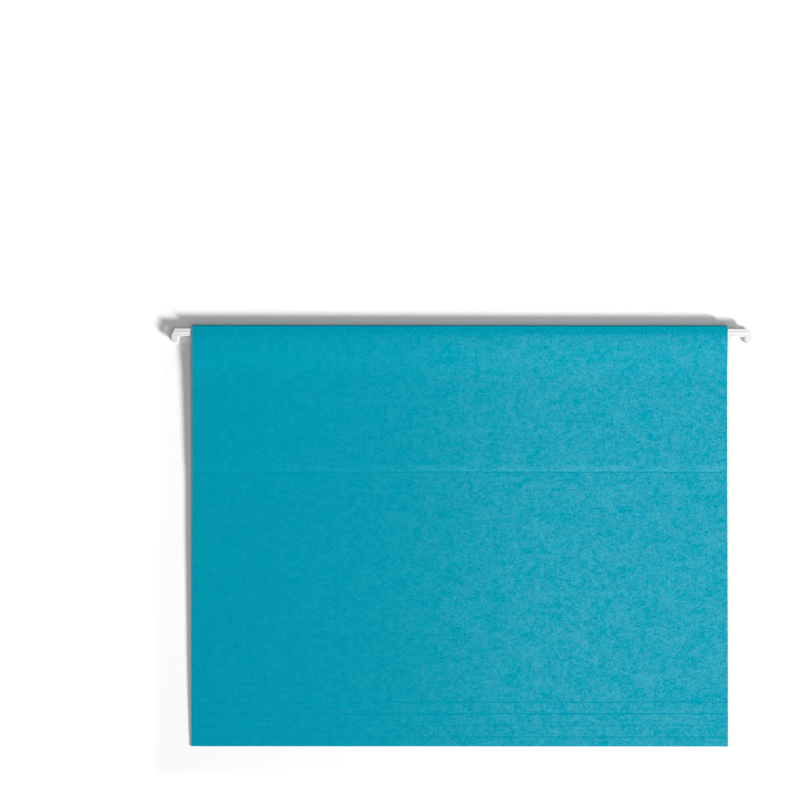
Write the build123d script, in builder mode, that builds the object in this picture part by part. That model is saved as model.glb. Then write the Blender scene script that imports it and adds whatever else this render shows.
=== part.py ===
# Hanging file folder lying flat: a creased sheet with turned-in hems, a steel hanger rail in each hem.
# Frame, in millimetres: +X along the rails, +Y from the bottom crease to the hems, +Z up through the
# thickness. The origin is the middle of the rear panel's outer face, which lies on the table.
import os
from math import asin, cos, degrees, sin

from build123d import *

os.makedirs("parts", exist_ok=True)

# The sheet: letter-size stock, creased at the bottom, with score lines beside the crease
sheet_width = 298.5
folder_height = 234.4
stock = 0.28
first_score = 5.2
score_pitch = 6.5
score_count = 4
score_radius = 0.6
score_depth = 0.08
crease_round = 0.2
fold_gap = 0.04

# The hems: each top edge is turned in around its rail and glued down on its panel
hem_depth = 81.7
ramp_length = 12.0
hem_clearance = 0.3
glue_film = 0.1
glue_line_width = 6.0
glue_line_count = 3
glue_edge_margin = 5.0

# The rails: coated steel strip with a hook at each end
rail_overhang = 12.75
rail_height = 9.5
rail_drop = 1.9
rail_shift = 1.1
bar_height = 4.3
hook_drop = 8.2
hook_width = 4.0
notch_width = 6.6
shoulder_run = 2.8
corner_run = 1.7
corner_fall = 3.9
corner_radius = 0.8
notch_radius = 0.9
tip_fall = 6.2
tip_inset = 1.7
tip_width = 1.9
tip_radius = 0.5
bead_stop = 1.6
steel = 0.5
coat = 0.2
coat_length = 24.0
bead_width = 1.4
bead_rise = 0.2
sleeve_clearance = 0.2

# The keeper: a dab of hot melt in each hem, standing in a notch in the rail's lower edge
keeper_length = 8.0
keeper_rise = 1.2
keeper_foot = 1.6
keeper_clearance = 0.3
rail_end_play = 2.0

# Values that follow from the sizes above
scores = [first_score + score_pitch * n for n in range(score_count)]
gusset_top = scores[-1]
channel = steel + 2 * coat + bead_rise + 2 * sleeve_clearance
hem = channel + 2 * stock
hem_radius = hem / 2
turn_height = folder_height - hem_radius
rail_top = folder_height - rail_drop
rail_bottom = rail_top - rail_height
ramp_top = rail_bottom - keeper_foot
ramp_bottom = ramp_top - ramp_length
flap_end = folder_height - hem_depth
flap_face = 2 * stock + glue_film
rail_depth = stock + channel / 2 + bead_rise / 2
coated = steel + 2 * coat
rail_half = sheet_width / 2 + rail_overhang
bead_level = -bar_height / 2
bead_half = rail_half - bead_stop
keeper_notch = keeper_length + 2 * rail_end_play

# The closed folder is a wedge: sharp at the crease, as thick as two hems at the rails
crease_thickness = 2 * stock + fold_gap
closed_angle = asin((2 * hem + hem_clearance - crease_thickness) / ramp_top)
lean = (0, sin(closed_angle), -cos(closed_angle))
crease_y = -folder_height / 2
front_start = (0, crease_y - stock * lean[1], stock + fold_gap - stock * lean[2])

# Each half of the sheet is drawn on its outer face: local y runs up from the crease, local z points outwards
faces = {
    "rear": Plane(origin=(0, crease_y, 0), x_dir=(-1, 0, 0), z_dir=(0, 0, -1)),
    "front": Plane(origin=front_start, x_dir=(1, 0, 0), z_dir=(0, -lean[1], -lean[2])),
}
shift_sign = {"rear": -1, "front": 1}


# Section plane of one half: local x runs up from the crease, local y goes inwards from the outer face
def section(side):
    face = faces[side]
    return Plane(origin=face.origin, x_dir=face.y_dir, z_dir=-face.x_dir)


# Plane of one rail's mid-thickness: its origin is the middle of the rail's top edge, local z points outwards
def rail_plane(side):
    face = faces[side]
    middle = face.from_local_coords((shift_sign[side] * rail_shift, rail_top, -rail_depth))
    return Plane(origin=middle, x_dir=face.x_dir, z_dir=face.z_dir)


# Outline of a coated rail: a straight strip, notched from below near each end so that a tapered hook is left
def rail_outline():
    shoulder = rail_half - hook_width - notch_width
    points = [
        (0, 0),
        (rail_half - corner_run, 0),
        (rail_half, -corner_fall),
        (rail_half, -tip_fall),
        (rail_half - tip_inset, -hook_drop),
        (rail_half - tip_inset - tip_width, -hook_drop),
        (rail_half - hook_width, -bar_height),
        (shoulder, -bar_height),
        (shoulder - shoulder_run, -rail_height),
        (0, -rail_height),
    ]
    radii = [corner_radius] * 3 + [tip_radius] * 2 + [notch_radius] * 3
    with BuildSketch() as outline:
        with BuildLine():
            FilletPolyline(*points, radius=radii)
            Line(points[-1], points[0])
        make_face()
        mirror(about=Plane.YZ)
    return outline.sketch


# Stretches of the sheet between the lines that bend: name, half, lower line, upper line
strips = [
    ("rear_gusset", "rear", 0, gusset_top),
    ("front_gusset_low", "front", 0, first_score),
    ("front_gusset_high", "front", first_score, gusset_top),
    ("rear_panel", "rear", gusset_top, turn_height),
    ("front_panel", "front", gusset_top, turn_height),
]
for name, side, low, high in strips:
    start = low + fold_gap / 2 if low > 0 else low
    end = high - fold_gap / 2 if high < turn_height else high
    with BuildPart() as strip:
        with BuildSketch(section(side)):
            with Locations(((start + end) / 2, stock / 2)):
                outline = Rectangle(end - start, stock)
            if low == 0:
                crease_corner = outline.vertices().group_by(Axis.X)[0].sort_by(Axis.Y)[0]
                fillet(crease_corner, crease_round)
            inner_scores = [score for score in scores if low < score < high]
            if inner_scores:
                with Locations([(score, score_depth - score_radius) for score in inner_scores]):
                    Circle(score_radius, mode=Mode.SUBTRACT)
        extrude(amount=sheet_width / 2, both=True)
    strip.part.label = name
    export_step(strip.part, f"parts/{name}.step")

for side in faces:
    # Hem: the sheet turns over the rail's top edge, runs down behind it and lies flat to its cut edge
    with BuildPart() as hem_fold:
        with BuildSketch(section(side)):
            with BuildLine():
                Polyline(
                    (turn_height, hem),
                    (ramp_top, hem),
                    (ramp_bottom, flap_face),
                    (flap_end, flap_face),
                    (flap_end, flap_face - stock),
                    (ramp_bottom, flap_face - stock),
                    (ramp_top, hem - stock),
                    (turn_height, hem - stock),
                )
                ThreePointArc(
                    (turn_height, hem - stock),
                    (folder_height - stock, hem_radius),
                    (turn_height, stock),
                )
                Line((turn_height, stock), (turn_height, 0))
                ThreePointArc((turn_height, 0), (folder_height, hem_radius), (turn_height, hem))
            make_face()
        extrude(amount=sheet_width / 2, both=True)
    hem_fold.part.label = f"{side}_hem"
    export_step(hem_fold.part, f"parts/{side}_hem.step")

    # Adhesive: thin lines along the hem, from just above its cut edge to the foot of the ramp
    lowest_line = flap_end + glue_edge_margin + glue_line_width / 2
    highest_line = ramp_bottom - glue_edge_margin - glue_line_width / 2
    line_step = (highest_line - lowest_line) / (glue_line_count - 1)
    with BuildPart() as glue:
        with BuildSketch(section(side)):
            with Locations(
                [(lowest_line + line_step * n, stock + glue_film / 2) for n in range(glue_line_count)]
            ):
                Rectangle(glue_line_width, glue_film)
        extrude(amount=sheet_width / 2 - glue_edge_margin, both=True)
    glue.part.label = f"{side}_hem_glue"
    export_step(glue.part, f"parts/{side}_hem_glue.step")

    # Keeper: fills the pocket from panel to hem under the rail and stands up into the rail's notch
    keeper_top = rail_bottom + keeper_rise
    with BuildPart() as keeper:
        with BuildSketch(section(side)):
            with Locations(((ramp_top + keeper_top) / 2, hem_radius)):
                Rectangle(keeper_top - ramp_top, channel)
        extrude(amount=keeper_length / 2, both=True)
    keeper.part.label = f"{side}_rail_keeper"
    export_step(keeper.part, f"parts/{side}_rail_keeper.step")

    # Rail: steel strip inside the coated outline, with the keeper's notch and a bead pressed outwards along the bar
    plane = rail_plane(side)
    with BuildPart() as rail:
        with BuildSketch(plane):
            add(rail_outline())
            offset(amount=-coat, mode=Mode.REPLACE)
            notch_top = -rail_height + keeper_rise + keeper_clearance
            with Locations((0, notch_top)):
                Rectangle(
                    keeper_notch,
                    rail_height,
                    align=(Align.CENTER, Align.MAX),
                    mode=Mode.SUBTRACT,
                )
        extrude(amount=steel / 2, both=True)
        with BuildSketch(plane.offset(steel / 2)):
            with Locations((0, bead_level)):
                Rectangle(2 * (bead_half - coat), bead_width - 2 * coat)
        extrude(amount=bead_rise)
    rail.part.label = f"{side}_rail"
    export_step(rail.part, f"parts/{side}_rail.step")

    # Coated ends: white plastic over each hook and the first stretch of the rail beside it
    for end, sign in (("left", -1), ("right", 1)):
        local_sign = sign * shift_sign[side]
        with BuildPart() as tip:
            with BuildSketch(plane):
                add(rail_outline())
                with Locations((local_sign * rail_half, 0)):
                    Rectangle(2 * coat_length, 2 * rail_height, mode=Mode.INTERSECT)
            extrude(amount=coated / 2, both=True)
            with BuildSketch(plane.offset(coated / 2)):
                with Locations((0, bead_level)):
                    Rectangle(2 * bead_half, bead_width)
                with Locations((local_sign * rail_half, 0)):
                    Rectangle(2 * coat_length, 2 * rail_height, mode=Mode.INTERSECT)
            extrude(amount=bead_rise)
            add(rail.part, mode=Mode.SUBTRACT)
        tip.part.label = f"{side}_rail_tip_{end}"
        export_step(tip.part, f"parts/{side}_rail_tip_{end}.step")

# Lines that the sheet bends on: each lies on the face that closes as the sheet folds there
front = faces["front"]
print("angle between the closed panels, degrees", degrees(closed_angle))
print("rear score", faces["rear"].from_local_coords((0, gusset_top, -stock)))
print("bottom crease", faces["rear"].from_local_coords((0, 0, -stock - fold_gap / 2)))
print("opening score", front.from_local_coords((0, first_score, 0)))
print("front score", front.from_local_coords((0, gusset_top, -stock)))
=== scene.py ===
# Hanging file folder lying closed on a table: one scored and folded sheet of teal paper stock, with a steel
# hanger rail in each hem and white coated hooks at the rails' ends.
from math import asin, cos, exp, pi, radians, sin

import bmesh
import bpy
from mathutils import Matrix, Vector


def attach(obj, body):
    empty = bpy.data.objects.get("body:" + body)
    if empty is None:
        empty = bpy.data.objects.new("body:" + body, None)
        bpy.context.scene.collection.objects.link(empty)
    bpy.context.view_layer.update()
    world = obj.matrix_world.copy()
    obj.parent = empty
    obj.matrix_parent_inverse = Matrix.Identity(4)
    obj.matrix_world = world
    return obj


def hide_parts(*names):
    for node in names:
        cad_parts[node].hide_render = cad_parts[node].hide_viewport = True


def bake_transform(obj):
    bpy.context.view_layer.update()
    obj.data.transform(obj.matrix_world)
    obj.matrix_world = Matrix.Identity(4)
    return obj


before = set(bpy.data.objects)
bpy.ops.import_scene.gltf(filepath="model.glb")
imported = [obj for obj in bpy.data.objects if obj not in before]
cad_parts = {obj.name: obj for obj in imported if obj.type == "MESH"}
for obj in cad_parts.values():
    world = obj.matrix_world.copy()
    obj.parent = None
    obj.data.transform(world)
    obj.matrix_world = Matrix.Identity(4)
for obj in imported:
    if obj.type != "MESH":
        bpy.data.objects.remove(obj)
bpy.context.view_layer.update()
scene = bpy.context.scene

# Rear sheet: the half of the blank that lies on the table, its hem turned in over the rail and glued down.
# Uncoated paper stock, dyed through. Its uppermost score is where the gusset below it starts.
# Lengths are in millimetres, here and in the sections below, and become metres as each mesh is made.
mm = 0.001
sheet_width = 298.5
folder_height = 234.4
stock = 0.28
fold_gap = 0.04
first_score = 5.2
score_pitch = 6.5
score_count = 4
rail_channel = 1.5
hem_clearance = 0.3
hem_depth = 81.7
glue_film = 0.1
ramp_top = 221.4
ramp_length = 12.0
scores = [first_score + score_pitch * n for n in range(score_count)]
gusset_top = scores[-1]
gusset_seam = (scores[1] + scores[2]) / 2
hem = rail_channel + 2 * stock
flap_end = folder_height - hem_depth
flap_face = 2 * stock + glue_film
ramp_bottom = ramp_top - ramp_length

# The closed folder is a wedge. Each half has its own plane: local y up from the crease, local z outwards
crease_y = -folder_height / 2
crease_thickness = 2 * stock + fold_gap
closed_angle = asin((2 * hem + hem_clearance - crease_thickness) / ramp_top)
planes = {
    "rear": Matrix((
        (-1, 0, 0, 0),
        (0, 1, 0, crease_y),
        (0, 0, -1, 0),
        (0, 0, 0, 1),
    )),
    "front": Matrix((
        (1, 0, 0, 0),
        (0, cos(closed_angle), -sin(closed_angle), crease_y - stock * sin(closed_angle)),
        (0, sin(closed_angle), cos(closed_angle), stock + fold_gap + stock * cos(closed_angle)),
        (0, 0, 0, 1),
    )),
}


# A point of one half in the frame: height above the crease, depth below the outer face
def on_half(side, height, depth):
    return planes[side] @ Vector((0, height, -depth))


# Smooth step from 0 at the start to 1 at the end, whichever of the two is higher
def smooth(start, end, value):
    part = min(max((value - start) / (end - start), 0), 1)
    return part * part * (3 - 2 * part)


# The outer face lies deeper than its flat plane: bowed in below the ridge over the rail, stepped where the
# hem's cut edge lies, with a pressed line there and at every score
ridge = 228.5
panel_bow = {"rear": 0.1, "front": 0.9}
bow_foot = (30, 195)
bow_head = (ridge, 203)
flap_step = 0.2
flap_step_start = 110
flap_step_fade = 2.6
flap_line = flap_end - 0.1
flap_line_strength = 0.9
score_strengths = (0.8, 0.55, 1.0, 0.85)
line_half_width = 0.4
line_depth = 0.035
lines = [*zip(scores, score_strengths), (flap_line, flap_line_strength)]


def pressed_lines(height):
    return sum(strength * exp(-(((height - line) / line_half_width) ** 2)) for line, strength in lines)


def face_depth(side, height):
    bow = panel_bow[side] * smooth(*bow_foot, height) * smooth(*bow_head, height)
    step = flap_step * smooth(flap_step_start, flap_end, height)
    if height > flap_end:
        step *= exp((flap_end - height) / flap_step_fade)
    return bow + step + line_depth * pressed_lines(height)


# The turned-in flap lies on the panel below the ramp and stands off behind the rail above it
def flap_depth(side, height):
    lying = face_depth(side, height) + flap_face
    return lying + (hem - lying) * smooth(ramp_bottom, ramp_top, height)


# Heights at which a section is drawn: close together at the pressed lines and the step, wider elsewhere
panel_rows = 90
line_rows = 16
line_row_gap = 0.1
step_rows = 14
step_row_gap = 0.5


def drawn_heights(low, high):
    heights = {low, high}
    heights.update(low + (high - low) * n / panel_rows for n in range(panel_rows + 1))
    for line, _ in lines:
        heights.update(line + line_row_gap * n for n in range(-line_rows, line_rows + 1))
    heights.update(flap_end + step_row_gap * n for n in range(step_rows))
    return sorted({round(height, 4) for height in heights if low <= height <= high})


# The hem's nose: the sheet eases down from the ridge over the rail's bead and turns back round its top
nose_end = 233.55
nose_drop = 0.19
nose_rows = 12
ridge_soft = 0.25
turn_rows = 24
nose_slope = nose_drop / (nose_end - ridge) * (1 + 2 * ridge_soft) / (1 + ridge_soft)
turn_radius = (hem - nose_drop) / (1 + cos(nose_slope))
turn_height = nose_end - turn_radius * sin(nose_slope)
turn_depth = hem - turn_radius


def hem_path(side):
    path = []
    for n in range(1, nose_rows + 1):
        part = n / nose_rows
        fall = part * part * (1 + ridge_soft) / (part + ridge_soft)
        path.append((ridge + (nose_end - ridge) * part, nose_drop * fall))
    for n in range(1, turn_rows + 1):
        angle = nose_slope + (pi - nose_slope) * n / turn_rows
        path.append((turn_height + turn_radius * sin(angle), turn_depth - turn_radius * cos(angle)))
    for height in reversed(drawn_heights(flap_end, turn_height)[:-1]):
        path.append((height, flap_depth(side, height)))
    return path


# Closed outline of a stretch of sheet whose outer face follows a path of (height, depth) points. A point
# carries its place along the blank, its face (0 outer, 1 inner), and its share of the ripple and the pressing
ripple_foot = (28, 80)
ripple_head = (212, 165)


def sheet_outline(side, path, start):
    outer, inner = [], []
    along = start
    for n, (height, depth) in enumerate(path):
        before, after = path[max(n - 1, 0)], path[min(n + 1, len(path) - 1)]
        run = Vector((after[0] - before[0], after[1] - before[1])).normalized()
        if n:
            along += (Vector(path[n]) - Vector(path[n - 1])).length
        place = along if side == "front" else -along
        slack = smooth(*ripple_foot, height) * smooth(*ripple_head, height)
        pressed = pressed_lines(height)
        under = (height - stock * run.y, depth + stock * run.x)
        outer.append((on_half(side, height, depth), place, 0.0, slack, pressed))
        inner.append((on_half(side, *under), place, 1.0, slack, pressed))
    return outer + inner[::-1]


# A socket of a node tree with arithmetic on it, and one way to add any other node to that tree
class Wire:
    def __init__(self, tree, socket=None):
        self.tree = tree
        self.socket = socket

    def node(self, kind, settings, sockets, output=0):
        made = self.tree.nodes.new(kind)
        for name, value in settings.items():
            setattr(made, name, value)
        for name, value in sockets.items():
            if isinstance(value, Wire):
                self.tree.links.new(value.socket, made.inputs[name])
            else:
                made.inputs[name].default_value = value
        return Wire(self.tree, made.outputs[output] if len(made.outputs) else None)

    def maths(self, operation, first, second=0.0):
        return self.node("ShaderNodeMath", {"operation": operation}, {0: first, 1: second})

    def __add__(self, other):
        return self.maths("ADD", self, other)

    def __radd__(self, other):
        return self.maths("ADD", other, self)

    def __sub__(self, other):
        return self.maths("SUBTRACT", self, other)

    def __rsub__(self, other):
        return self.maths("SUBTRACT", other, self)

    def __mul__(self, other):
        return self.maths("MULTIPLY", self, other)

    def __rmul__(self, other):
        return self.maths("MULTIPLY", other, self)

    def __rtruediv__(self, other):
        return self.maths("DIVIDE", other, self)

    def __abs__(self):
        return self.maths("ABSOLUTE", self)

    # Soft threshold: 0 at the first value, 1 at the second
    def between(self, start, end):
        return self.node(
            "ShaderNodeMapRange",
            {"interpolation_type": "SMOOTHSTEP"},
            {"Value": self, "From Min": start, "From Max": end},
        )

    # One axis of a vector, and a vector from its axes
    def axis(self, letter):
        return self.node("ShaderNodeSeparateXYZ", {}, {"Vector": self}, output=letter)

    def joined(self, x=0.0, y=0.0, z=0.0):
        return self.node("ShaderNodeCombineXYZ", {}, {"X": x, "Y": y, "Z": z})

    def stretched(self, *scale):
        return self.node("ShaderNodeMapping", {}, {"Vector": self, "Scale": scale})

    # Noise on a vector, in grains per unit
    def grain(self, scale, detail=2.0, roughness=0.5):
        return self.node(
            "ShaderNodeTexNoise",
            {"noise_dimensions": "3D"},
            {"Vector": self, "Scale": scale, "Detail": detail, "Roughness": roughness},
        )

    # Relief from a height, its depth in metres
    def bump(self, strength, depth):
        return self.node("ShaderNodeBump", {}, {"Strength": strength, "Distance": depth, "Height": self})


# Mix of two colours; sockets 6 and 7 are the Mix node's colours, and output 2 is their blend
def blend_colours(factor, first, second):
    return factor.node(
        "ShaderNodeMix", {"data_type": "RGBA"}, {"Factor": factor, 6: first, 7: second}, output=2
    )


# An empty finish to build on, and its closing with a principled surface
def open_finish(name):
    finish = bpy.data.materials.new(name)
    finish.use_nodes = True
    finish.node_tree.nodes.clear()
    return finish, Wire(finish.node_tree)


def close_finish(wire, sockets):
    surface = wire.node("ShaderNodeBsdfPrincipled", {}, sockets)
    wire.node("ShaderNodeOutputMaterial", {}, {"Surface": surface})


# Teal stock: cloudy formation, deep and light flecks, short fibres that catch the light, and burnish with
# painted shade where it is pressed. Its sheen is dulled over the rail and rubbed up just above the hem's cut
# edge
teal_deep = (0.0, 0.298, 0.412, 1)
teal_light = (0.0003, 0.350, 0.481, 1)
# Painted shade: the pressed lines take this darker teal, partly for compacted stock and partly as the shade
# in their grooves
teal_pressed_and_shaded = (0.0, 0.302, 0.417, 1)
fleck_deep = (0.0, 0.180, 0.267, 1)
fleck_light = (0.0004, 0.432, 0.58, 1)
gloss_tint = (0.0, 0.85, 1.0, 1)
clouds_per_metre = 90
formation_per_metre = 300
fibres_per_metre = 700
flecks_per_metre = 950
patches_per_metre = 60
# Painted sheen: the stretch across the sheet over which the flecks grow stronger toward the right
painted_sheen_fade = (-100 * mm, 0.0)
dull_foot = ((ridge - 0.6) * mm, (ridge + 2.8) * mm)
dull_head = ((folder_height + 4) * mm, (folder_height + 2) * mm)
rub_foot = ((flap_end - 0.1) * mm, (flap_end + 0.4) * mm)
rub_head = ((flap_end + 5) * mm, flap_end * mm)
sheen_weight = 0.6
sheen_roughness = 0.25
stock_relief = 0.04 * mm
stock_finish, wire = open_finish("teal_paper_stock")
blank = wire.node("ShaderNodeAttribute", {"attribute_name": "flat"}, {}, output="Vector")
pressed = wire.node("ShaderNodeAttribute", {"attribute_name": "pressed"}, {}, output="Fac")
across = blank.axis("X")
up = abs(blank.axis("Y"))
laid = blank.stretched(0.9, 1, 1)
clouds = laid.grain(clouds_per_metre, detail=4, roughness=0.6)
formation = laid.grain(formation_per_metre, detail=3, roughness=0.6)
fibres = laid.grain(fibres_per_metre, detail=4, roughness=0.72)
flecks = laid.grain(flecks_per_metre, detail=0).between(0.38, 0.62)
specks = blank.stretched(0.8, 1, 1).grain(flecks_per_metre, detail=1).between(0.48, 0.58)
patches = blank.stretched(1, 0.05, 1).grain(patches_per_metre, detail=3).between(0.3, 0.7)
mottle = (0.1 * clouds + 0.4 * formation + 0.5 * fibres).between(0.36, 0.64)
# Painted sheen: the flecks are mixed in more strongly on the right half, standing in for the sheen's speckle
# there
flecks_with_painted_sheen = 0.05 + 0.22 * across.between(*painted_sheen_fade)
# Painted shade: darkens the pressed lines, partly as compacted stock and partly as shade in the grooves
burnish_and_painted_shade = (pressed * (0.35 + 0.65 * patches)).between(0.05, 1.0)
tone = blend_colours(mottle, teal_deep, teal_light)
tone = blend_colours(flecks_with_painted_sheen, tone, blend_colours(flecks, fleck_deep, fleck_light))
tone = blend_colours(burnish_and_painted_shade, tone, teal_pressed_and_shaded)
unpressed = 1 - pressed.between(0.1, 0.7)
over_rail = up.between(*dull_foot) * up.between(*dull_head)
glint = (0.26 * clouds + 0.33 * formation + 0.41 * fibres).between(0.41, 0.61)
glint = glint * unpressed * (1 - 0.9 * over_rail)
rubbed = up.between(*rub_foot) * up.between(*rub_head)
rubbed = rubbed * (0.3 + 0.7 * patches) * fibres.between(0.35, 0.6)
close_finish(wire, {
    "Base Color": tone,
    "Roughness": 0.8 - 0.55 * specks * unpressed,
    "Specular IOR Level": 0.5,
    "Specular Tint": gloss_tint,
    "Coat Weight": sheen_weight * (glint + rubbed),
    "Coat Roughness": sheen_roughness,
    "Normal": (0.6 * formation + 0.4 * fibres).bump(1.0, stock_relief),
})

# Folded stock, as a rule: closed outlines are drawn out along the width, and the panel ripples inwards
ripple_size = 90
ripple_seed = 4.0
sharp_edge = radians(35)
sweep = bpy.data.node_groups.new("folded_stock", "GeometryNodeTree")
sweep_inputs = {}
for label, kind in (
    ("Section", "NodeSocketGeometry"),
    ("Width", "NodeSocketFloat"),
    ("Stations", "NodeSocketInt"),
    ("Ripple", "NodeSocketFloat"),
    ("Ripple Size", "NodeSocketFloat"),
    ("Seed", "NodeSocketFloat"),
    ("Inwards", "NodeSocketVector"),
    ("Finish", "NodeSocketMaterial"),
):
    sweep_inputs[label] = sweep.interface.new_socket(label, in_out="INPUT", socket_type=kind).identifier
sweep.interface.new_socket("Stock", in_out="OUTPUT", socket_type="NodeSocketGeometry")
wire = Wire(sweep)
given = {label: wire.node("NodeGroupInput", {}, {}, output=label) for label in sweep_inputs}
along, face, slack = (
    wire.node("GeometryNodeInputNamedAttribute", {"data_type": "FLOAT"}, {"Name": label})
    for label in ("along", "face", "slack")
)
half_width = 0.5 * given["Width"]
width_line = wire.node(
    "GeometryNodeCurvePrimitiveLine",
    {},
    {"Start": wire.joined(x=-1 * half_width), "End": wire.joined(x=half_width)},
)
width_line = wire.node("GeometryNodeResampleCurve", {}, {"Curve": width_line, "Count": given["Stations"]})
profile = wire.node("GeometryNodeMeshToCurve", {}, {"Mesh": given["Section"]})
swept = wire.node(
    "GeometryNodeCurveToMesh", {}, {"Curve": width_line, "Profile Curve": profile, "Fill Caps": True}
)
place = wire.node("GeometryNodeInputPosition", {}, {})
swept = wire.node(
    "GeometryNodeStoreNamedAttribute",
    {"data_type": "FLOAT_VECTOR", "domain": "POINT"},
    {"Geometry": swept, "Name": "flat", "Value": wire.joined(place.axis("X"), along, face)},
)
wave_place = wire.joined(place.axis("X"), place.axis("Y"), given["Seed"])
waves = wave_place.grain(1 / given["Ripple Size"], detail=1)
offset = wire.node(
    "ShaderNodeVectorMath",
    {"operation": "SCALE"},
    {0: given["Inwards"], "Scale": waves * given["Ripple"] * slack},
)
swept = wire.node("GeometryNodeSetPosition", {}, {"Geometry": swept, "Offset": offset})
swept = wire.node("GeometryNodeSetShadeSmooth", {}, {"Geometry": swept})
swept = wire.node("GeometryNodeRealizeInstances", {}, {"Geometry": swept})
swept = wire.node("GeometryNodeSetMaterial", {}, {"Geometry": swept, "Material": given["Finish"]})
wire.node("NodeGroupOutput", {}, {"Stock": swept})


# One piece from its closed outlines. They are drawn flat: a profile's x comes out as -Y, and its y as -Z
def folded_piece(name, outlines, width, stations, finish, ripple=0.0, inwards=(0, 0, 1)):
    corners, edges = [], []
    for outline in outlines:
        first, count = len(corners), len(outline)
        corners += outline
        edges += [(first + n, first + (n + 1) % count) for n in range(count)]
    drawing = bpy.data.meshes.new(name + "_section")
    drawing.from_pydata([(-spot.y * mm, -spot.z * mm, 0) for spot, *_ in corners], edges, [])
    for column, label, scale in ((1, "along", mm), (2, "face", 1), (3, "slack", 1), (4, "pressed", 1)):
        values = drawing.attributes.new(label, "FLOAT", "POINT")
        values.data.foreach_set("value", [corner[column] * scale for corner in corners])
    piece = bpy.data.objects.new(name, drawing)
    scene.collection.objects.link(piece)
    modifier = piece.modifiers.new("folded_stock", "NODES")
    modifier.node_group = sweep
    settings = {
        "Width": width * mm,
        "Stations": stations,
        "Ripple": ripple * mm,
        "Ripple Size": ripple_size * mm,
        "Seed": ripple_seed,
        "Inwards": inwards,
        "Finish": finish,
    }
    for label, value in settings.items():
        modifier[sweep_inputs[label]] = value
    evaluated = piece.evaluated_get(bpy.context.evaluated_depsgraph_get())
    mesh = bpy.data.meshes.new_from_object(evaluated)
    piece.modifiers.remove(modifier)
    piece.data = mesh
    bpy.data.meshes.remove(drawing)
    mesh.name = name
    shell = bmesh.new()
    shell.from_mesh(mesh)
    bmesh.ops.recalc_face_normals(shell, faces=shell.faces)
    shell.to_mesh(mesh)
    shell.free()
    mesh.set_sharp_from_angle(angle=sharp_edge)
    for label in ("along", "face", "slack"):
        mesh.attributes.remove(mesh.attributes[label])
    return piece


# One panel with its hem, from the seam in its gusset to the flap's cut edge
sheet_stations = 110
panel_ripple = {"rear": 0.14, "front": 0.35}
inwards = {"rear": (0, 0, 1), "front": (0, sin(closed_angle), -cos(closed_angle))}


def panel_piece(side):
    path = [(height, face_depth(side, height)) for height in drawn_heights(gusset_seam, ridge)]
    outline = sheet_outline(side, path + hem_path(side), gusset_seam)
    return folded_piece(
        side + "_sheet",
        [outline],
        sheet_width,
        sheet_stations,
        stock_finish,
        panel_ripple[side],
        inwards[side],
    )


# At a score: the piece's placing is baked into its mesh. The two ends of a short reach each side of the line
# are found, but not used
bend_reach = 1.2


def bend(piece, side, score, reach):
    sign = 1 if side == "front" else -1
    start = on_half(side, score - sign * reach, stock / 2) * mm
    end = on_half(side, score + sign * reach, stock / 2) * mm
    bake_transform(piece)


rear_sheet = panel_piece("rear")
bend(rear_sheet, "rear", gusset_top, bend_reach)
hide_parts("rear_panel", "rear_hem", "rear_gusset")

# Crease strip: the bottom of the folder, where the same stock is folded double between its two gussets.
# It is crushed to a tight round edge, along which the gussets open to a flat box bottom.
crease_bulge = 0.12
crease_rows = 20
crease_seam = first_score / 2
crease_level = stock + fold_gap / 2


def strip_points(side, low, high, depth_under, face):
    sign = 1 if side == "front" else -1
    points = []
    for height in drawn_heights(low, high):
        depth = face_depth(side, height) + depth_under
        points.append((on_half(side, height, depth), sign * height, face, 0.0, pressed_lines(height)))
    return points


# The edge itself, as half an ellipse round the fold
def edge_points(reach_out, half_height, face):
    points = []
    for n in range(1, crease_rows):
        angle = pi * n / crease_rows
        spot = Vector((0, crease_y - reach_out * sin(angle), crease_level - half_height * cos(angle)))
        points.append((spot, 0.0, face, 0.0, 0.0))
    return points


crease_outline = strip_points("rear", 0, gusset_seam, 0.0, 0.0)[::-1]
crease_outline += edge_points(crease_bulge, crease_level, 0.0)
crease_outline += strip_points("front", 0, crease_seam, 0.0, 0.0)
crease_outline += strip_points("front", 0, crease_seam, stock, 1.0)[::-1]
crease_outline += edge_points(fold_gap / 2, fold_gap / 2, 1.0)[::-1]
crease_outline += strip_points("rear", 0, gusset_seam, stock, 1.0)
crease_strip = folded_piece("crease_strip", [crease_outline], sheet_width, sheet_stations, stock_finish)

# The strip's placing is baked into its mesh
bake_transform(crease_strip)
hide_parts("front_gusset_low")

# Opening strip: the narrow stretch round the lowest score, on which the front of the folder swings open.
# It is the same stock, pressed along the line from outside, and runs on into the strips above and below it.
opening_reach = 0.5
opening_path = [(height, face_depth("front", height)) for height in drawn_heights(crease_seam, gusset_seam)]
opening_outline = sheet_outline("front", opening_path, crease_seam)
opening_strip = folded_piece("opening_strip", [opening_outline], sheet_width, sheet_stations, stock_finish)
bend(opening_strip, "front", first_score, opening_reach)
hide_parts("front_gusset_high")

# Front sheet: the face of the folder, of the same stock, bowed in a little below the hem over its rail.
# The hem is turned in and glued as on the rear sheet, and its cut edge shows through as a pressed line.
front_sheet = panel_piece("front")
bend(front_sheet, "front", gusset_top, bend_reach)
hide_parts("front_panel", "front_hem")

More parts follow.
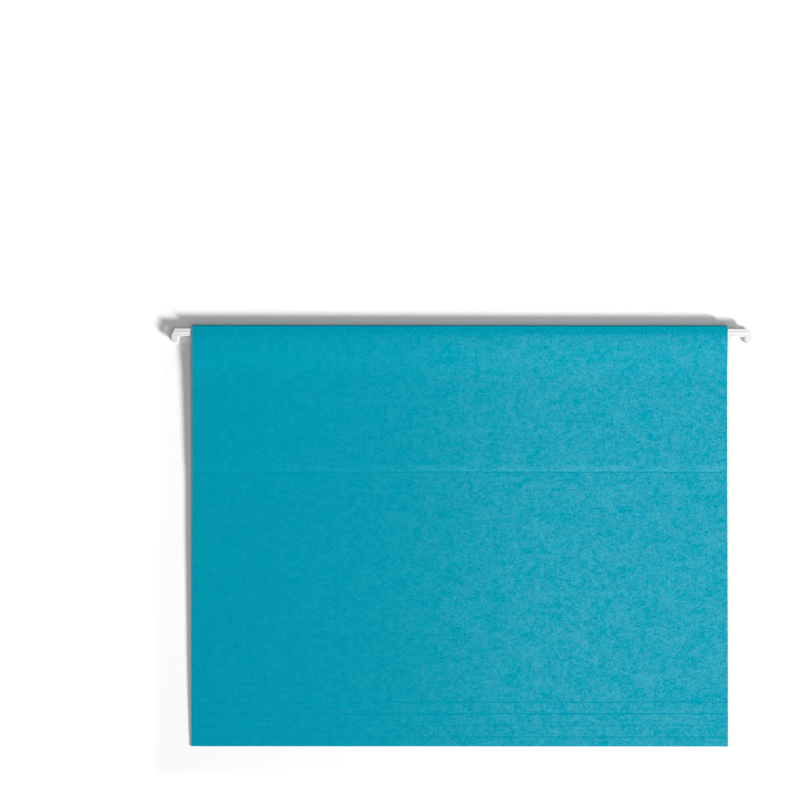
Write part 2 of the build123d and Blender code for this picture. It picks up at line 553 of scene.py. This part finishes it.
# Hem adhesive: three flat lines of hot melt in each hem, pressed out between the panel and its flap.
# They stop short of the sheet's ends and follow the panel's bow.
glue_width = 6.0
glue_margin = 5.0
glue_lines = 3
glue_rows = 12
glue_stations = 60
glue_flatness = 8
glue_low = flap_end + glue_margin
glue_high = ramp_bottom - glue_margin - glue_width
glue_pitch = (glue_high - glue_low) / (glue_lines - 1)
glue_pale = (0.74, 0.66, 0.47, 1)
glue_amber = (0.66, 0.56, 0.36, 1)
glue_relief = 0.1 * mm
glue_finish, wire = open_finish("dried_hot_melt")
object_place = wire.node("ShaderNodeTexCoord", {}, {}, output="Object")
haze = object_place.grain(260, detail=3, roughness=0.6)
blush = object_place.grain(1400, detail=2)
close_finish(wire, {
    "Base Color": blend_colours(haze.between(0.35, 0.65), glue_pale, glue_amber),
    "Roughness": 0.38 + 0.2 * blush,
    "Subsurface Weight": 0.1,
    "Normal": haze.bump(0.6, glue_relief),
})


def glue_outline(side, low):
    top, bottom = [], []
    for n in range(glue_rows + 1):
        part = n / glue_rows
        height = low + glue_width * part
        rounding = glue_film / 2 * (1 - (2 * part - 1) ** glue_flatness)
        middle = face_depth(side, height) + stock + glue_film / 2
        top.append((on_half(side, height, middle - rounding), height, 0.0, 0.0, 0.0))
        bottom.append((on_half(side, height, middle + rounding), height, 0.0, 0.0, 0.0))
    return top + bottom[-2:0:-1]


for side in planes:
    outlines = [glue_outline(side, glue_low + glue_pitch * n) for n in range(glue_lines)]
    glue = folded_piece(
        side + "_glue_lines", outlines, sheet_width - 2 * glue_margin, glue_stations, glue_finish
    )
    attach(glue, side + "_panel")
    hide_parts(side + "_hem_glue")

# Rail keepers: a dab of the same hot melt in the middle of each hem, set from panel to flap under the rail.
# It stands up into a notch of the rail, so that the rail can't slide out, and keeps the shape of its solid.
keepers = [side + "_rail_keeper" for side in planes]


# Gives a solid of the frame a finish of its own
def dress(node, finish):
    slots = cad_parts[node].data.materials
    slots.clear()
    slots.append(finish)


for keeper in keepers:
    dress(keeper, glue_finish)

# Rail strip: plain cold-rolled steel, drawn along its length, loose in its hem between the coated ends.
# It is seen only through the hem's open ends, and keeps the shape of its solid.
steel_bright = (0.60, 0.60, 0.61, 1)
steel_dull = (0.50, 0.50, 0.52, 1)
steel_relief = 0.02 * mm
steel_finish, wire = open_finish("rail_strip_steel")
object_place = wire.node("ShaderNodeTexCoord", {}, {}, output="Object")
drawn = object_place.stretched(0.02, 1, 1).grain(5000, detail=3, roughness=0.7)
bloom = object_place.grain(120, detail=4, roughness=0.6)
close_finish(wire, {
    "Base Color": blend_colours(bloom.between(0.3, 0.7), steel_bright, steel_dull),
    "Metallic": 1.0,
    "Roughness": 0.26 + 0.16 * drawn + 0.1 * bloom,
    "Normal": drawn.bump(0.5, steel_relief),
})
for side in planes:
    dress(side + "_rail", steel_finish)

# Coated ends: white plastic over each hook and the first stretch of its rail, dipped on in one go.
# It is thick enough to round every edge, and the rail's bead stands through as a low rib along the bar.
rail_overhang = 12.75
rail_drop = 1.9
rail_height = 9.5
rail_shift = {"rear": -1.1, "front": 1.1}
bar_height = 4.3
shoulder_run = 2.8
notch_width = 6.6
notch_radius = 0.9
hook_width = 4.0
hook_drop = 8.2
corner_run = 1.7
corner_fall = 3.9
corner_radius = 0.8
tip_fall = 6.2
tip_inset = 1.7
tip_width = 1.9
tip_radius = 0.5
corner_steps = 8
coat_length = 24.0
coat_thickness = 0.9
coat_round = 0.22
rib_half = 0.6
rib_rise = 0.07
rib_inset = 0.5
rib_stop = 1.7
weld_gap = 0.002
flat_normal = 0.999
rail_half = sheet_width / 2 + rail_overhang
rail_top = folder_height - rail_drop
rail_depth = stock + rail_channel / 2
shoulder = rail_half - hook_width - notch_width
coat_start = rail_half - coat_length
rib_level = -bar_height / 2
rib_line = [Vector((coat_start + rib_inset, rib_level)), Vector((rail_half - rib_stop, rib_level))]
hook_corners = [
    ((coat_start, 0), 0),
    ((rail_half - corner_run, 0), corner_radius),
    ((rail_half, -corner_fall), corner_radius),
    ((rail_half, -tip_fall), corner_radius),
    ((rail_half - tip_inset, -hook_drop), tip_radius),
    ((rail_half - tip_inset - tip_width, -hook_drop), tip_radius),
    ((rail_half - hook_width, -bar_height), notch_radius),
    ((shoulder, -bar_height), notch_radius),
    ((shoulder - shoulder_run, -rail_height), notch_radius),
    ((coat_start, -rail_height), 0),
]
coat_white = (0.80, 0.80, 0.81, 1)
coat_handled = (0.75, 0.75, 0.77, 1)
coat_relief = 0.03 * mm
coat_finish, wire = open_finish("white_dipped_coating")
object_place = wire.node("ShaderNodeTexCoord", {}, {}, output="Object")
peel = object_place.grain(1100, detail=2)
handling = object_place.grain(240, detail=4, roughness=0.65)
close_finish(wire, {
    "Base Color": blend_colours(handling.between(0.4, 0.7), coat_white, coat_handled),
    "Roughness": 0.3 + 0.18 * handling,
    "Normal": peel.bump(0.4, coat_relief),
})


# Points of an outline with rounded corners: each corner's arc touches both of its sides
def rounded(corners):
    points = []
    for n, (corner, radius) in enumerate(corners):
        spot = Vector(corner)
        if radius == 0:
            points.append(spot)
            continue
        back = (Vector(corners[n - 1][0]) - spot).normalized()
        on = (Vector(corners[(n + 1) % len(corners)][0]) - spot).normalized()
        half_angle = back.angle(on) / 2
        centre = spot + (back + on).normalized() * (radius / sin(half_angle))
        touch = radius * cos(half_angle) / sin(half_angle)
        first = spot + back * touch - centre
        last = spot + on * touch - centre
        for step in range(corner_steps + 1):
            points.append(centre + radius * first.slerp(last, step / corner_steps))
    return points


def curve_mesh(name, points, cyclic, settings):
    curve = bpy.data.curves.new(name, "CURVE")
    for label, value in settings.items():
        setattr(curve, label, value)
    spline = curve.splines.new("POLY")
    spline.points.add(len(points) - 1)
    spline.points.foreach_set("co", [value for point in points for value in (point.x, point.y, 0, 1)])
    spline.use_cyclic_u = cyclic
    holder = bpy.data.objects.new(name, curve)
    mesh = bpy.data.meshes.new_from_object(holder)
    bpy.data.objects.remove(holder)
    bpy.data.curves.remove(curve)
    return mesh


# One coated end as drawn, right of the rail's middle: the bar with its hook, and the rib lying on it
def coated_end():
    bar = curve_mesh("bar", rounded(hook_corners), True, {
        "dimensions": "2D",
        "fill_mode": "BOTH",
        "extrude": coat_thickness / 2 - coat_round,
        "bevel_depth": coat_round,
        "bevel_resolution": 3,
        "offset": -coat_round,
    })
    rib = curve_mesh("rib", rib_line, False, {
        "dimensions": "3D",
        "bevel_depth": rib_half,
        "bevel_resolution": 4,
        "use_fill_caps": True,
    })
    low_rib = Matrix.Diagonal((1, 1, rib_rise / rib_half, 1))
    rib.transform(Matrix.Translation((0, 0, coat_thickness / 2)) @ low_rib)
    shell = bmesh.new()
    shell.from_mesh(bar)
    bmesh.ops.remove_doubles(shell, verts=shell.verts, dist=weld_gap)
    for edge in shell.edges:
        lies_flat = {abs(face.normal.z) > flat_normal for face in edge.link_faces}
        edge.smooth = len(lies_flat) == 1
    shell.from_mesh(rib)
    for face in shell.faces:
        face.smooth = True
    bpy.data.meshes.remove(bar)
    bpy.data.meshes.remove(rib)
    return shell


for side in planes:
    middle = planes[side] @ Matrix.Translation((rail_shift[side], rail_top, -rail_depth))
    for end, sign in (("left", -1), ("right", 1)):
        turned = Matrix.Diagonal((sign if side == "front" else -sign, 1, 1, 1))
        shell = coated_end()
        bmesh.ops.transform(shell, matrix=Matrix.Scale(mm, 4) @ middle @ turned, verts=shell.verts)
        bmesh.ops.recalc_face_normals(shell, faces=shell.faces)
        name = f"{side}_hook_{end}"
        mesh = bpy.data.meshes.new(name)
        shell.to_mesh(mesh)
        shell.free()
        mesh.materials.append(coat_finish)
        hook = bpy.data.objects.new(name, mesh)
        scene.collection.objects.link(hook)
        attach(hook, side + "_rail")
        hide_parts(f"{side}_rail_tip_{end}")

# Table: a plain white top under the folder, matt, that keeps the folder's shadow.
# It is lifted to full white for the camera a short way off the folder, and only a little beside it.
# Its sizes, and those of the lamps and the camera, are in metres.
table_half = 3.0
table_white = (0.95, 0.95, 0.95, 1)
shadow_half = (0.163, 0.126)
shadow_fade = 0.05
lift_beside = 0.085
lift_beyond = 0.985
table_finish, wire = open_finish("white_table")
seen = wire.node("ShaderNodeLightPath", {}, {}, output="Is Camera Ray")
for ray in ("Is Glossy Ray", "Is Transmission Ray"):
    seen = seen + wire.node("ShaderNodeLightPath", {}, {}, output=ray)
object_place = wire.node("ShaderNodeTexCoord", {}, {}, output="Object")
beside_x = abs(object_place.axis("X")) - shadow_half[0]
beside_y = abs(object_place.axis("Y")) - shadow_half[1]
off_folder = wire.maths("MAXIMUM", beside_x, beside_y).between(0.0, shadow_fade)
lift = seen * (lift_beside + (lift_beyond - lift_beside) * off_folder)
glow = wire.node("ShaderNodeEmission", {}, {
    "Color": blend_colours(lift, (0, 0, 0, 1), (1, 1, 1, 1)),
    "Strength": 1.0,
})
matt = wire.node("ShaderNodeBsdfDiffuse", {}, {"Color": table_white})
surface = wire.node("ShaderNodeAddShader", {}, {0: matt, 1: glow})
wire.node("ShaderNodeOutputMaterial", {}, {"Surface": surface})
table_corners = [(x * table_half, y * table_half, 0) for x, y in ((-1, -1), (1, -1), (1, 1), (-1, 1))]
table_mesh = bpy.data.meshes.new("table_top")
table_mesh.from_pydata(table_corners, [], [(0, 1, 2, 3)])
table_mesh.materials.append(table_finish)
table = bpy.data.objects.new("table_top", table_mesh)
scene.collection.objects.link(table)

# Studio light: a soft lamp low on the right, a weaker one over the folder's right half, and a pale room.
# Only the high lamp shows in the stock's sheen, and the room is dim overhead, so the left half stays deep.
# To the camera the room is plain white.
room_overhead = (0.03, 0.03, 0.03, 1)
room_walls = (0.30, 0.30, 0.30, 1)
room_fade = (0.85, 0.2)
world = bpy.data.worlds.new("white_room")
world.use_nodes = True
world.node_tree.nodes.clear()
wire = Wire(world.node_tree)
camera_ray = wire.node("ShaderNodeLightPath", {}, {}, output="Is Camera Ray")
rise = wire.node("ShaderNodeTexCoord", {}, {}, output="Generated").axis("Z")
room_tone = blend_colours(rise.between(*room_fade), room_overhead, room_walls)
room = wire.node("ShaderNodeBackground", {}, {"Color": room_tone, "Strength": 1.0})
backdrop = wire.node("ShaderNodeBackground", {}, {"Color": (1, 1, 1, 1), "Strength": 1.0})
surround = wire.node("ShaderNodeMixShader", {}, {0: camera_ray, 1: room, 2: backdrop})
wire.node("ShaderNodeOutputWorld", {}, {"Surface": surround})
scene.world = world


def soft_lamp(name, place, aim, size, spread, watts, in_sheen):
    lamp = bpy.data.lights.new(name, "AREA")
    lamp.shape = "RECTANGLE"
    lamp.size, lamp.size_y = size
    lamp.spread = radians(spread)
    lamp.energy = watts
    holder = bpy.data.objects.new(name, lamp)
    look = (Vector(aim) - Vector(place)).to_track_quat("-Z", "Y")
    holder.matrix_world = Matrix.Translation(place) @ look.to_matrix().to_4x4()
    holder.visible_glossy = in_sheen
    scene.collection.objects.link(holder)


soft_lamp(
    "low_lamp",
    place=(5.2, -3.64, 2.436),
    aim=(-0.4, 0.8, 0),
    size=(1.36, 1.36),
    spread=26,
    watts=27.8,
    in_sheen=False,
)
soft_lamp(
    "high_lamp",
    place=(0.3, -0.2, 1.0),
    aim=(0.3, -0.2, 0),
    size=(0.5, 0.75),
    spread=180,
    watts=2.75,
    in_sheen=True,
)

# Camera: nearly straight above, a little left of the folder's middle, as far off as for a table-top shot.
# Its turn away from looking straight down is one rotation vector, in degrees.
camera_place = (-0.03436, 0.05436, 0.8535)
camera_turn = (1.416, -0.0654, 0.0485)
focal_length = 68.65
film_width = 36.0
camera_data = bpy.data.cameras.new("camera")
camera_data.lens = focal_length
camera_data.sensor_width = film_width
camera = bpy.data.objects.new("camera", camera_data)
turn = Vector([radians(angle) for angle in camera_turn])
camera.matrix_world = Matrix.Translation(camera_place) @ Matrix.Rotation(turn.length, 4, turn.normalized())
scene.collection.objects.link(camera)
scene.camera = camera
scene.view_settings.view_transform = "Standard"
